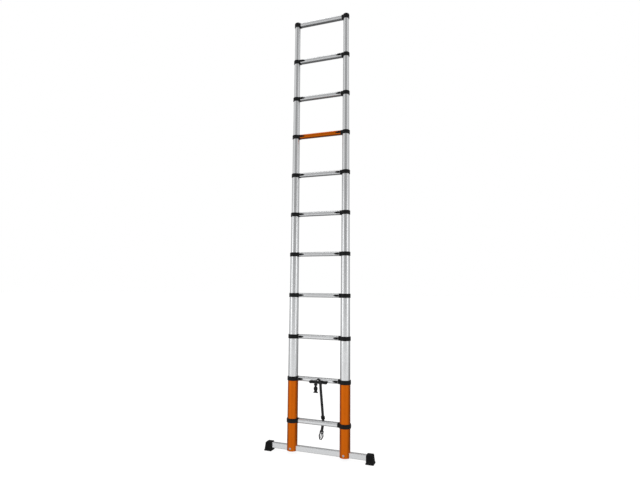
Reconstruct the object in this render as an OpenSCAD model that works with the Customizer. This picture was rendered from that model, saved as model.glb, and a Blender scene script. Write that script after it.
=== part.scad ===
// Telescopic ladder with eleven rungs, standing upright and fully extended.
// Nine pairs of tubes slide into each other and into one pair of long base tubes.
// Millimetres. +Z up, the climber's side is -Y, the origin is on the floor under the middle.

/* [Ladder] */
// Height of the lowest rung's centre above the floor
first_rung_z = 230; // [225:1:260]
// Distance from the lowest rung to the second, which are both fixed to the base tubes
first_gap = 295; // [280:1:300]
// Distance from one rung to the next above those, extended
rung_pitch = 300; // [290:1:310]
// Distance from one rung to the next, closed
closed_pitch = 50; // [48:1:56]
// Distance between the centre lines of the two stiles
stile_spacing = 396; // [380:1:420]

/* [Stile tubes] */
// Outer diameter of the base tubes
base_tube_d = 75; // [72:0.5:77]
// Wall of every stile tube
tube_wall = 1.5; // [1.4:0.1:1.6]
// Radial gap between a tube and the tube or collar it slides in
slide_gap = 0.4; // [0.35:0.05:0.45]
// Length of each tube that stays in the tube below it
tube_overlap = 32; // [30:1:36]
// Height of the base tubes' lower ends above the floor
base_tube_bottom = 20; // [19:1:22]

/* [Rungs] */
// Depth of a rung from front to back
rung_depth = 40; // [38:1:42]
// Height of a rung
rung_height = 30; // [30:1:32]
// Outer corner radius of a rung
rung_corner = 10; // [8:1:11]
// Wall of a rung
rung_wall = 2; // [1.6:0.1:2.2]
// Number of grip ribs along the top of a rung
rib_count = 6; // [4:1:7]

/* [Collars] */
// Height of a collar
collar_height = 30; // [28:1:32]
// How far a collar stands out from its tube
collar_proud = 4; // [3.5:0.5:5]
// Distance from the tube to the end of the rung
socket_reach = 11; // [10:1:12]
// Distance from the tube to the end of the latch housing inside the rung
housing_reach = 72; // [70:1:76]

/* [Latches] */
// Length of a release button
button_length = 29; // [26:1:30]
// How far a button stands out from the rung
button_proud = 5; // [4:0.5:6]
// Travel of a button towards the middle of the rung
latch_travel = 10; // [8:0.5:10]
// Radius of a locking pin
pin_r = 4; // [3.5:0.5:4.5]

/* [Stabiliser] */
// Length of the stabiliser bar
bar_length = 784; // [770:2:820]
// Depth of the stabiliser bar from front to back
bar_depth = 28; // [26:1:34]
// Height of the stabiliser bar
bar_height = 37; // [34:1:40]
// Width of a foot at its sole
sole_width = 57; // [54:1:60]
// Depth of a foot from front to back
foot_depth = 64; // [60:1:68]
// Height of a foot
foot_height = 60; // [59:1:64]

/* [Carry handle and strap] */
// Length of the carry handle
handle_length = 136; // [120:2:150]
// Distance of the handle's middle from the ladder's centre line
handle_x = 7; // [0:1:10]
// Width of the webbing
webbing_width = 20; // [18:1:22]
// Thickness of the webbing
webbing_thick = 2; // [1.6:0.2:2.4]

/* [Hidden] */
$fn = 48;
aluminium = [0.80, 0.81, 0.82];
orange = [0.88, 0.42, 0.06];
black = [0.06, 0.06, 0.065];
steel = [0.62, 0.63, 0.65];

rung_count = 11;
orange_rung = 8;
side_names = ["left", "right"];
fit_gap = 0.05;           // between pieces that are pressed or moulded together
stile_x = stile_spacing / 2;

// Heights and radii along the ladder, where section 2 is the base
function rung_z(k) = first_rung_z + (k == 1 ? 0 : first_gap + rung_pitch * (k - 2));
function tube_r(k) = base_tube_d / 2 - (tube_wall + slide_gap) * max(k - 2, 0);
function tube_bottom(k) = rung_z(k - 1) - tube_overlap;
function tube_top(k) = rung_z(k) + seat_top;
function reach(k) = tube_r(k) + (k == 1 ? clamp_reach : socket_reach);

half_collar = collar_height / 2;
lip = 3;                  // thickness of the collar's lip over the tube's upper end
seat_top = half_collar - lip;
edge = 2;                 // chamfer on collars and caps
clamp_reach = 14;
clamp_proud = 5;
block_margin = 1;         // the collar's block stands this far out from the rung all round
spigot_length = 16;
plug_floor = 4;
plug_wall = 4;
cap_dome = 12;

// Latch parts, measured inwards from the tube's surface
carriage_from = 27.5;
carriage_to = 41;
spring_to = 58;
pocket_to = 69;
button_from = 13;
stem_from = 31;
stem_length = 8;
carriage_front = -rung_depth / 2 + rung_wall + 1.4;
carriage_back = 8.5;
carriage_half_z = 8.5;
stem_half_z = 3;
running_gap = 0.3;
button_gap = 0.4;
pin_socket = 9;
spring_r = 5;
spring_wall = 1.4;

// Stabiliser bar, its saddles and bolts
bar_bottom = base_tube_bottom;
bar_mid = bar_bottom + bar_height / 2;
bar_wall = 2;
bar_corner = 4;
saddle_top = 82;
bolt_r = 4;
bolt_head_r = 8;
bolt_head = 6;
nut_height = 6;
foot_x = bar_length / 2 - 12;
sole_outer = 27;          // the sole reaches this far past the middle of the foot, away from the ladder
foot_top_width = 45;
foot_top_outer = 18;
stop_top = tube_bottom(3) - plug_floor - rung_pitch + closed_pitch - 0.5;
stop_height = 27;
clamp_screw_r = 2.4;

// Carry handle
grip_bottom = rung_z(2) - 22;
grip_top = grip_bottom + 21;
grip_back = -rung_depth / 2 - 3.5;
grip_front = grip_back - 11;
boss_width = 11;
boss_top = rung_z(2) + 12;
boss_pad_r = 12;          // round pad of the boss, above the strap's loops
boss_screw_z = rung_z(2) + 2;
strap_offset = 18;
long_strap_x = handle_x + strap_offset;
short_strap_x = handle_x - strap_offset;

// Middle line of the long strap, from the handle to the plug, as [x, y, z]
strap_route = [
    [25.5, -29, 501], [25.5, -28.7, 492], [25.7, -27, 478], [25.9, -24.3, 463], [26.3, -19.2, 438],
    [26.7, -14, 413], [27.1, -8.8, 388], [27.5, -3.5, 363], [27.9, 1.7, 338], [28.3, 7, 313],
    [28.6, 12.2, 288], [28.7, 17.3, 264], [28.4, 20.4, 250], [27.9, 22.6, 240], [27.2, 24, 230],
    [26, 24.5, 218], [24.2, 24.5, 204], [22.2, 24.5, 190], [19.95, 24.5, 176], [19, 24.5, 170]
];
slider_at = [28.7, 17.5, 263];
slider_tilt = 12;
plug_top = [19, 24.5, 170];
plug_tilt = 9;
socket_top = [short_strap_x, -29, 500];

// ---- Shared shapes ----

// A rectangle with round corners, centred on the origin
module round_rect(w, h, r) {
    square([w - 2 * r, h], center = true);
    square([w, h - 2 * r], center = true);
    for (sx = [-1, 1], sy = [-1, 1])
        translate([sx * (w / 2 - r), sy * (h / 2 - r)]) circle(r);
}

// Draws on the stile's axis with +X pointing inwards, on one side of the ladder
module on_side(side) {
    mirror([side == "right" ? 1 : 0, 0, 0]) translate([-stile_x, 0, 0]) children();
}

module on_both_sides() {
    for (side = side_names) on_side(side) children();
}

// An outline in the YZ plane, drawn out along +X
module along_x(from, to) {
    translate([from, 0, 0]) rotate([90, 0, 90]) linear_extrude(to - from) children();
}

// A round bar along +X
module bar_x(r, from, to) {
    translate([from, 0, 0]) rotate([0, 90, 0]) cylinder(r = r, h = to - from);
}

// A box between two corners
module block(low, high) {
    translate(low) cube(high - low);
}

// ---- Stiles ----

// One tube of section k, with the holes that its two latches lock into
module stile_tube(k, bottom, last = false) {
    difference() {
        translate([0, 0, bottom]) cylinder(r = tube_r(k), h = tube_top(k) - bottom, $fn = 72);
        translate([0, 0, bottom - 1])
            cylinder(r = tube_r(k) - tube_wall, h = tube_top(k) - bottom + 2, $fn = 72);
        if (!last) translate([0, 0, rung_z(k)]) bar_x(pin_r + slide_gap, 0, tube_r(k) + 1);
        if (k > 2) translate([0, 0, rung_z(k - 1)]) bar_x(pin_r + slide_gap, 0, tube_r(k) + 1);
    }
}

module base_tubes() {
    color(orange) on_both_sides() difference() {
        stile_tube(2, base_tube_bottom);
        // The tube straddles the stabiliser bar
        block([-base_tube_d, -bar_depth / 2 - slide_gap, base_tube_bottom - 1],
              [base_tube_d, bar_depth / 2 + slide_gap, bar_bottom + bar_height + slide_gap]);
        translate([0, 0, bar_mid]) rotate([90, 0, 0])
            cylinder(r = bolt_r + slide_gap, h = 2 * base_tube_d, center = true);
        translate([0, 0, first_rung_z]) bar_x(clamp_screw_r + slide_gap, -base_tube_d, 0);
    }
}

module stiles(k) {
    color(aluminium) on_both_sides() stile_tube(k, tube_bottom(k), k == rung_count);
}

// ---- Rungs ----

module rung_outline() {
    rib_step = (rung_depth - 2 * rung_corner) / (rib_count - 1);
    difference() {
        union() {
            round_rect(rung_depth, rung_height, rung_corner);
            for (i = [0:rib_count - 1])
                translate([(i - (rib_count - 1) / 2) * rib_step - 0.9, rung_height / 2 - 1]) square([1.8, 1.8]);
        }
        round_rect(rung_depth - 2 * rung_wall, rung_height - 2 * rung_wall, rung_corner - rung_wall);
    }
}

// The hollow rung k, with a slot for each release button's stem
module rung(k) {
    half = stile_x - reach(k);
    stem_at = tube_r(k) + stem_from;
    latched = k > 1 && k < rung_count;
    color(k == orange_rung ? orange : aluminium) difference() {
        translate([0, 0, rung_z(k)]) along_x(-half, half) rung_outline();
        if (latched) on_both_sides()
            block([stem_at - 0.5, -rung_depth, rung_z(k) - stem_half_z - slide_gap],
                  [stem_at + stem_length + latch_travel + 0.5, -rung_depth / 2 + rung_wall + 0.2,
                   rung_z(k) + stem_half_z + slide_gap]);
        if (k == 2) translate([handle_x, -rung_depth / 2 + rung_wall + 1, boss_screw_z])
            rotate([90, 0, 0]) cylinder(r = clamp_screw_r + slide_gap, h = 10);
    }
}

// ---- Collars, clamps, caps and plugs ----

// The block that the rung's end butts against, with its spigot inside the rung
module rung_socket(k, spigot_to) {
    inner_depth = rung_depth - 2 * rung_wall - 2 * fit_gap;
    inner_height = rung_height - 2 * rung_wall - 2 * fit_gap;
    along_x(0, reach(k))
        round_rect(rung_depth + 2 * block_margin, rung_height + 2 * block_margin, rung_corner + block_margin);
    along_x(reach(k) - 1, spigot_to)
        round_rect(inner_depth, inner_height, rung_corner - rung_wall - fit_gap);
}

// A ring on the upper end of tube k, whose lip guides the next tube
module collar_ring(k) {
    bore = tube_r(k) + fit_gap;
    guide = tube_r(k + 1) + slide_gap;
    outer = tube_r(k) + collar_proud;
    rotate_extrude($fn = 72) polygon([
        [bore, -half_collar], [outer - edge, -half_collar], [outer, -half_collar + edge],
        [outer, half_collar - edge], [outer - edge, half_collar], [guide, half_collar],
        [guide, seat_top], [bore, seat_top]]);
}

// Collar k with its latch housing, drawn at the rung's height
module collar(k) {
    r = tube_r(k);
    difference() {
        union() {
            difference() {
                rung_socket(k, r + housing_reach);
                cylinder(r = r + fit_gap, h = 4 * half_collar, center = true, $fn = 72);
            }
            collar_ring(k);
        }
        bar_x(pin_r + slide_gap, r - 6, r + carriage_from);
        block([r + carriage_from - running_gap, -rung_depth, -carriage_half_z - running_gap],
              [r + pocket_to, carriage_back + running_gap, carriage_half_z + running_gap]);
    }
}

// The plug in the lower end of tube k, which lands on the plug below when the ladder is closed
module guide_plug(k) {
    r = tube_r(k) - tube_wall - fit_gap;
    top = closed_pitch - plug_floor - 0.5;
    translate([0, 0, tube_bottom(k)]) difference() {
        union() {
            translate([0, 0, -plug_floor]) cylinder(r = tube_r(k), h = plug_floor, $fn = 72);
            cylinder(r = r, h = top, $fn = 72);
        }
        translate([0, 0, plug_floor]) cylinder(r = r - plug_wall, h = top);
        cylinder(r = 3, h = 4 * plug_floor, center = true);
        translate([0, 0, tube_overlap]) bar_x(pin_r + slide_gap, 0, r + 1);
    }
}

module collars(k) {
    color(black) on_both_sides() {
        translate([0, 0, rung_z(k)]) collar(k);
        if (k > 2) guide_plug(k);
    }
}

// The cap that closes the upper end of the last tube
module top_caps() {
    k = rung_count;
    bore = tube_r(k) + fit_gap;
    outer = tube_r(k) + collar_proud;
    dome = [for (a = [0:10:90]) [outer * cos(a), half_collar - 2 + (cap_dome + 2) * sin(a)]];
    color(black) on_both_sides() {
        translate([0, 0, rung_z(k)]) {
            difference() {
                rung_socket(k, reach(k) + spigot_length);
                cylinder(r = bore, h = 4 * half_collar, center = true, $fn = 72);
            }
            rotate_extrude($fn = 72) polygon(concat(
                [[0, seat_top], [bore, seat_top], [bore, -half_collar], [outer - edge, -half_collar],
                 [outer, -half_collar + edge]], dome));
        }
        guide_plug(k);
    }
}

// The rings that clamp the lowest rung to the base tubes part-way up
module rung_clamps() {
    bore = base_tube_d / 2 + fit_gap;
    outer = base_tube_d / 2 + clamp_proud;
    color(black) on_both_sides() translate([0, 0, first_rung_z]) difference() {
        union() {
            difference() {
                rung_socket(1, reach(1) + spigot_length);
                cylinder(r = bore, h = 4 * half_collar, center = true, $fn = 72);
            }
            rotate_extrude($fn = 72) polygon([
                [bore, -half_collar], [outer - edge, -half_collar], [outer, -half_collar + edge],
                [outer, half_collar - edge], [outer - edge, half_collar], [bore, half_collar]]);
        }
        bar_x(clamp_screw_r + slide_gap, -outer - 1, 0);
    }
}

// ---- Latches ----

// The release button: a tongue that narrows inwards, with three thumb ridges and a stem
module button(r) {
    tip = r + button_from + button_length;
    front = -rung_depth / 2 - button_gap;
    rotate([90, 0, 0]) translate([0, 0, -front]) linear_extrude(button_proud) polygon([
        [r + button_from, -8], [r + button_from + 10, -8], [tip - 3, -6], [tip, -3.5],
        [tip, 3.5], [tip - 3, 6], [r + button_from + 10, 8], [r + button_from, 8]]);
    for (i = [0:2])
        block([r + button_from + 4 + 5 * i, front - button_proud - 1, -5],
              [r + button_from + 6 + 5 * i, front - button_proud + 0.5, 5]);
    block([r + stem_from, front - 0.5, -stem_half_z],
          [r + stem_from + stem_length, carriage_front, stem_half_z]);
}

module latch(k, side) {
    r = tube_r(k);
    tip = tube_r(k + 1) + slide_gap;
    on_side(side) translate([0, 0, rung_z(k)]) {
        color(black) {
            button(r);
            // Sliding carriage inside the housing, bored for the pin
            difference() {
                block([r + carriage_from, carriage_front, -carriage_half_z],
                      [r + carriage_to, carriage_back, carriage_half_z]);
                bar_x(pin_r + fit_gap, r, r + carriage_from + pin_socket);
            }
        }
        color(steel) {
            bar_x(pin_r, tip, r + carriage_from + pin_socket - fit_gap);
            difference() {
                bar_x(spring_r, r + carriage_to + fit_gap, r + spring_to);
                bar_x(spring_r - spring_wall, r, r + spring_to + 1);
            }
        }
    }
}

// ---- Foot of the ladder ----

// Saddles that fill the tubes round the bar, and the stops that the first sliding tubes land on
module base_plugs() {
    r = base_tube_d / 2 - tube_wall - fit_gap;
    color(black) on_both_sides() {
        difference() {
            translate([0, 0, base_tube_bottom]) cylinder(r = r, h = saddle_top - base_tube_bottom, $fn = 72);
            block([-base_tube_d, -bar_depth / 2 - fit_gap, base_tube_bottom - 1],
                  [base_tube_d, bar_depth / 2 + fit_gap, bar_bottom + bar_height + fit_gap]);
            translate([0, 0, bar_mid]) rotate([90, 0, 0])
                cylinder(r = bolt_r + slide_gap, h = 2 * base_tube_d, center = true);
        }
        difference() {
            translate([0, 0, stop_top - stop_height]) cylinder(r = r, h = stop_height, $fn = 72);
            translate([0, 0, stop_top - stop_height - 1]) cylinder(r = r / 2, h = stop_height + 2);
            translate([0, 0, first_rung_z]) bar_x(clamp_screw_r + fit_gap, -base_tube_d, 0);
        }
    }
}

module stabiliser_bar() {
    color(aluminium) difference() {
        translate([0, 0, bar_mid]) along_x(-bar_length / 2, bar_length / 2) difference() {
            round_rect(bar_depth, bar_height, bar_corner);
            round_rect(bar_depth - 2 * bar_wall, bar_height - 2 * bar_wall, bar_corner - bar_wall);
        }
        on_both_sides() translate([0, 0, bar_mid]) rotate([90, 0, 0])
            cylinder(r = bolt_r + slide_gap, h = 2 * bar_depth, center = true);
    }
}

// Flared rubber feet, each with a pocket for the bar's end and grooves across the sole
module feet() {
    groove = 3;
    color(black) for (side = [0, 1]) mirror([side, 0, 0]) translate([foot_x, 0, 0]) difference() {
        hull() {
            translate([sole_outer - sole_width, -foot_depth / 2, 0]) cube([sole_width, foot_depth, 8]);
            translate([foot_top_outer - foot_top_width, -foot_depth / 2 + 4, foot_height - 4])
                cube([foot_top_width, foot_depth - 8, 4]);
        }
        block([-sole_width, -bar_depth / 2 - fit_gap, bar_bottom - fit_gap],
              [bar_length / 2 - foot_x + fit_gap, bar_depth / 2 + fit_gap, bar_bottom + bar_height + fit_gap]);
        for (y = [-18, -6, 6, 18])
            block([-sole_width, y - groove / 2, -1], [sole_width, y + groove / 2, 2.5]);
    }
}

// A dome-headed bolt through each tube, saddle and bar, with a nut at the back
module bar_bolts() {
    seat = base_tube_d / 2;
    top = seat + bolt_head;
    color(steel) on_both_sides() translate([0, 0, bar_mid]) rotate([90, 0, 0]) {
        translate([0, 0, -top]) cylinder(r = bolt_r, h = top + seat + 1);
        rotate_extrude() polygon([[0, seat], [bolt_head_r, seat], [bolt_head_r, seat + 1.5],
                                  [6, top - 1.5], [3, top], [0, top]]);
        difference() {
            translate([0, 0, -seat - nut_height]) cylinder(r = 7.5, h = nut_height, $fn = 6);
            translate([0, 0, -top - 1]) cylinder(r = bolt_r + fit_gap, h = nut_height + 2);
        }
    }
}

// Pan-head screws: one through each rung clamp, one through the carry handle's boss
module fixing_screws() {
    outer = base_tube_d / 2 + clamp_proud;
    color(steel) {
        on_both_sides() translate([0, 0, first_rung_z]) {
            bar_x(clamp_screw_r, -outer - 1, -20);
            bar_x(4.5, -outer - 2.5, -outer);
        }
        translate([handle_x, 0, boss_screw_z]) rotate([90, 0, 0]) {
            translate([0, 0, rung_depth / 2 - rung_wall - 4])
                cylinder(r = clamp_screw_r, h = 4 + rung_wall - grip_front - rung_depth / 2);
            translate([0, 0, -grip_front]) cylinder(r = 4.5, h = 2.5);
        }
    }
}

// ---- Carry handle and strap ----

// A grip across the front of rung 2, held by a boss that is screwed to the rung
module carry_handle() {
    grip_mid = (grip_front + grip_back) / 2;
    grip_r = (grip_back - grip_front) / 2;
    color(black) difference() {
        translate([handle_x, 0, 0]) {
            for (z = [grip_bottom + grip_r, grip_top - grip_r])
                translate([0, grip_mid, z]) bar_x(grip_r, -handle_length / 2, handle_length / 2);
            block([-handle_length / 2, grip_front, grip_bottom + grip_r],
                  [handle_length / 2, grip_back, grip_top - grip_r]);
            block([-boss_width / 2, grip_front, grip_bottom + 4], [boss_width / 2, -rung_depth / 2 - fit_gap, boss_top]);
            intersection() {
                translate([0, 0, boss_screw_z]) rotate([90, 0, 0]) cylinder(r = boss_pad_r, h = -grip_front - 2);
                block([-boss_pad_r, grip_front, grip_top + webbing_thick + 0.6],
                      [boss_pad_r, -rung_depth / 2 - fit_gap, boss_screw_z + boss_pad_r]);
            }
        }
        translate([handle_x, 0, boss_screw_z]) rotate([90, 0, 0])
            cylinder(r = clamp_screw_r + fit_gap, h = 2 * rung_depth);
    }
}

// Webbing sewn round the grip: a flat ring drawn in the YZ plane, closed above and below
module webbing_loop(x, tail) {
    grip_mid = (grip_front + grip_back) / 2;
    grip_mid_z = (grip_top + grip_bottom) / 2;
    depth = grip_back - grip_front + 2 * fit_gap;
    height = grip_top - grip_bottom + 2 * fit_gap;
    translate([x, grip_mid, grip_mid_z]) along_x(-webbing_width / 2, webbing_width / 2) {
        difference() {
            round_rect(depth + 2 * webbing_thick, height + 2 * webbing_thick, depth / 2 + webbing_thick - 0.1);
            round_rect(depth, height, depth / 2 - 0.1);
        }
        translate([-webbing_thick, -height / 2 - webbing_thick - tail])
            square([2 * webbing_thick, tail + 1]);
    }
}

module strap_loops() {
    color(black) {
        webbing_loop(long_strap_x, 0);
        webbing_loop(short_strap_x, 4);
    }
}

// A flat strap swept along a route in which X hardly changes: four corners at each point
module flat_sweep(route, width, thick) {
    n = len(route);
    steps = [for (i = [0:n - 1]) route[min(i + 1, n - 1)] - route[max(i - 1, 0)]];
    corners = [[-1, -1], [1, -1], [1, 1], [-1, 1]];
    points = [for (i = [0:n - 1], c = corners)
        let (along = steps[i] / norm(steps[i]),
             across = cross(along, [1, 0, 0]) / norm(cross(along, [1, 0, 0])),
             wide = cross(across, along))
        route[i] + c[0] * width / 2 * wide + c[1] * thick / 2 * across];
    sides = [for (i = [0:n - 2], j = [0:3])
        [4 * i + j, 4 * i + (j + 1) % 4, 4 * i + 4 + (j + 1) % 4, 4 * i + 4 + j]];
    polyhedron(points, concat([[3, 2, 1, 0]], sides, [[for (j = [0:3]) 4 * (n - 1) + j]]));
}

module long_strap() {
    color(black) flat_sweep(strap_route, webbing_width, webbing_thick);
}

// The plug half of the side-release buckle, with the strap's slider above the lowest rung
module buckle_plug() {
    color(black) {
        translate(plug_top) rotate([0, plug_tilt, 0]) translate([0, 0, -66]) {
            difference() {
                block([-14, -3.5, 46], [14, 3.5, 66 - fit_gap]);
                block([-11, -5, 52], [11, 5, 56]);
            }
            block([-2, -2, 12], [2, 2, 46]);
            for (s = [0, 1]) mirror([s, 0, 0]) rotate([90, 0, 0]) translate([0, 0, -3])
                linear_extrude(6) polygon([
                    [10, 46], [14, 46], [17.5, 36], [17.5, 26], [13, 10], [8, 2], [5, 2], [5, 8], [9, 12],
                    [13, 27], [13, 35]]);
        }
        translate(slider_at) rotate([slider_tilt, 0, 0]) difference() {
            block([-15, -3, -12], [15, 3, 12]);
            block([-webbing_width / 2 - 0.3, -1.3, -13], [webbing_width / 2 + 0.3, 1.3, 13]);
        }
    }
}

// The socket half of the side-release buckle, hanging with its mouth down
module buckle_socket() {
    color(black) translate(socket_top) {
        difference() {
            for (part = [
                [[8, 4, -14, -6], [14, 5, -32, -20]],
                [[14, 5, -32, -20], [9.5, 5, -46, -42]],
                [[9.5, 5, -46, -42], [17, 6, -60, -55]]])
                hull() for (b = part) block([-b[0], -b[1], b[2]], [b[0], b[1], b[3]]);
            block([-12, -3, -61], [12, 3, -24]);
            block([-20, -2, -50], [20, 2, -34]);
        }
        difference() {
            block([-13, -4, -9], [13, 4, -1]);
            block([-10.5, -2.2, -7], [10.5, 2.2, 0]);
        }
    }
}

// ---- Which pieces are drawn ----

base_tubes();
base_plugs();
stabiliser_bar();
feet();
bar_bolts();
rung_clamps();
fixing_screws();
for (k = [3:rung_count]) stiles(k);
for (k = [1:rung_count]) rung(k);
for (k = [2:rung_count - 1]) collars(k);
top_caps();
for (k = [2:rung_count - 1], s = side_names)
    latch(k, s);
carry_handle();
strap_loops();
long_strap();
buckle_plug();
buckle_socket();
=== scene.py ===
"""Looks of a telescopic ladder, built round its CAD frame: moulded parts, strap, fixings and finishes."""

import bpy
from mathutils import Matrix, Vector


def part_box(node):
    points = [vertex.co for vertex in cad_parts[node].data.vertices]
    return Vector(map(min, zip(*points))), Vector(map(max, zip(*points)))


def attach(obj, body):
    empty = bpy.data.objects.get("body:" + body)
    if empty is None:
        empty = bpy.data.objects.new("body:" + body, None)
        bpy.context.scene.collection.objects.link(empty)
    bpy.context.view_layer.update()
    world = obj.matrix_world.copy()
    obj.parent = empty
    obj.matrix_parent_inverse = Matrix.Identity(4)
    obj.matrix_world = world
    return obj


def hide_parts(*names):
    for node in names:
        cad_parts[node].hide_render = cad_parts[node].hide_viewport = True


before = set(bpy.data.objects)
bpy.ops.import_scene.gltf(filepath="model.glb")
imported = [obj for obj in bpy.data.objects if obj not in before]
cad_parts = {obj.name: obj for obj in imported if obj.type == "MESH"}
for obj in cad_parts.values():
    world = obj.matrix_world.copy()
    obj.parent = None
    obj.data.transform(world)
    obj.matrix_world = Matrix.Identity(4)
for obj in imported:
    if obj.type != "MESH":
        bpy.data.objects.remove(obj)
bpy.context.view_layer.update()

import math

import bmesh
import bpy
from mathutils import Matrix, Vector

bl_info = {
    "name": "Telescopic ladder",
    "version": (1, 0, 0),
    "blender": (4, 5, 0),
    "location": "3D View > Sidebar > Ladder",
    "description": "Builds the moulded parts, soft parts and finishes of a telescopic ladder",
    "category": "Object",
}

MM = 0.001
RUNG_COUNT = 11

# ---- Places and sizes, read from the frame ----

base_low, base_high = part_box("base_tubes")
BASE_RADIUS = base_high.y
STILE_X = base_high.x - BASE_RADIUS
RUNG_HALF = 15 * MM
RUNG_HALF_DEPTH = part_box("rung_1")[1].y
BAR_LOW, BAR_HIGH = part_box("stabiliser_bar")
BAR_MID_Z = (BAR_LOW.z + BAR_HIGH.z) / 2
FOOT_LOW, FOOT_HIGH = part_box("feet")
HANDLE_LOW, HANDLE_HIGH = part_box("carry_handle")
HANDLE_X = (HANDLE_LOW.x + HANDLE_HIGH.x) / 2
LOOPS_LOW, LOOPS_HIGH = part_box("strap_loops")
SOCKET_LOW, SOCKET_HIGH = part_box("buckle_socket")


def tube_radius(k):
    """Outer radius of the tube that carries rung k."""
    return BASE_RADIUS if k <= 2 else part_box(f"stiles_{k}")[1].y


def rung_z(k):
    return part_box(f"rung_{k}")[0].z + RUNG_HALF


def rung_end(k):
    """Distance of rung k's end from the ladder's middle."""
    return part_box(f"rung_{k}")[1].x


def section_body(k):
    return "base" if k <= 2 else f"section_{k}"


# The carry handle's grip below rung 2, and its screw's height
GRIP_LOW, GRIP_HIGH = rung_z(2) - 22 * MM, rung_z(2) - 1 * MM
GRIP_BACK = -RUNG_HALF_DEPTH - 3.5 * MM
GRIP_Y, GRIP_Z = (HANDLE_LOW.y + GRIP_BACK) / 2, (GRIP_LOW + GRIP_HIGH) / 2
HANDLE_SCREW_Z = rung_z(2) + 2 * MM


# ---- What a user would change ----

def length_property(name, description, default, low, high):
    """A length, given in millimetres."""
    return bpy.props.FloatProperty(name=name, description=description, default=default * MM, min=low * MM,
                                   max=high * MM, unit="LENGTH")


def angle_property(name, description, degrees):
    return bpy.props.FloatProperty(name=name, description=description, subtype="ANGLE",
                                   default=math.radians(degrees))


def colour_property(name, description, default):
    return bpy.props.FloatVectorProperty(name=name, description=description, subtype="COLOR", size=4, min=0,
                                         max=1, default=default)


def brightness_property(name, description):
    return bpy.props.FloatProperty(name=name, description=description, default=1.0, min=0, max=2)


class LadderShape(bpy.types.PropertyGroup):
    """Sizes of the moulded and soft parts."""
    collar_proud: length_property("Collar stand-out", "How far a collar stands out from its tube", 4, 2, 6)
    clamp_proud: length_property(
        "Clamp stand-out", "How far the lowest rung's clamp stands out from its tube", 5, 3, 7)
    cap_dome: length_property("Cap dome", "Height of the top caps' dome", 12, 8, 12)
    button_proud: length_property(
        "Button stand-out", "How far a release button stands out from its rung", 5, 3, 6)
    webbing_width: length_property("Webbing width", "Width of the strap's webbing", 20, 16, 22)
    webbing_thick: length_property("Webbing thickness", "Thickness of the strap's webbing", 1.6, 1, 2)


class LadderColours(bpy.types.PropertyGroup):
    """Colours of the finishes."""
    aluminium: colour_property("Aluminium", "Natural anodised aluminium", (0.76, 0.77, 0.78, 1))
    orange: colour_property("Orange", "Orange anodised aluminium", (0.67, 0.139, 0.006, 1))
    nylon: colour_property("Nylon", "Moulded black nylon", (0.0035, 0.0038, 0.0043, 1))
    rubber: colour_property("Rubber", "Black foot rubber", (0.0042, 0.0042, 0.0045, 1))
    steel: colour_property("Steel", "Zinc-plated steel", (0.60, 0.61, 0.62, 1))
    webbing: colour_property("Webbing", "Black polyester webbing", (0.0036, 0.0036, 0.004, 1))


class LadderStudio(bpy.types.PropertyGroup):
    """Camera, floor and light."""
    eye: bpy.props.FloatVectorProperty(
        name="Camera place", description="Where the camera stands", subtype="TRANSLATION", unit="LENGTH",
        default=(1.1827, -3.2116, 1.1835))
    turn: angle_property("Turn", "Turn of the camera to the left", 20.19)
    tilt: angle_property("Tilt", "Upward tilt of the camera", 5.776)
    roll: angle_property("Roll", "Roll of the camera about its view", 0.482)
    lens: bpy.props.FloatProperty(
        name="Lens", description="Focal length in millimetres", default=26.28, min=15, max=80)
    floor: colour_property("Floor", "Colour of the floor", (0.93, 0.93, 0.93, 1))
    backdrop: brightness_property("Backdrop", "Brightness of the plain background")
    room: brightness_property("Room light", "Brightness of the light from all round")


def shape():
    return bpy.context.scene.ladder_shape


def colours():
    return bpy.context.scene.ladder_colours


def studio():
    return bpy.context.scene.ladder_studio


# ---- Modelling by hand: primitives, edit mode and modifiers ----

def only(piece):
    """Leaves just this piece selected and active."""
    bpy.ops.object.select_all(action="DESELECT")
    piece.select_set(True)
    bpy.context.view_layer.objects.active = piece


def start(name, add, **settings):
    """Adds a primitive with nothing else selected, and puts its place into its mesh."""
    bpy.ops.object.select_all(action="DESELECT")
    add(**settings)
    piece = bpy.context.object
    piece.name = name
    piece.data.name = name
    bpy.ops.object.transform_apply(location=True, rotation=True, scale=True)
    return piece


def cube(name, place, size):
    """A box with its middle at a place."""
    return start(name, bpy.ops.mesh.primitive_cube_add, size=1, location=place, scale=size)


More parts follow.
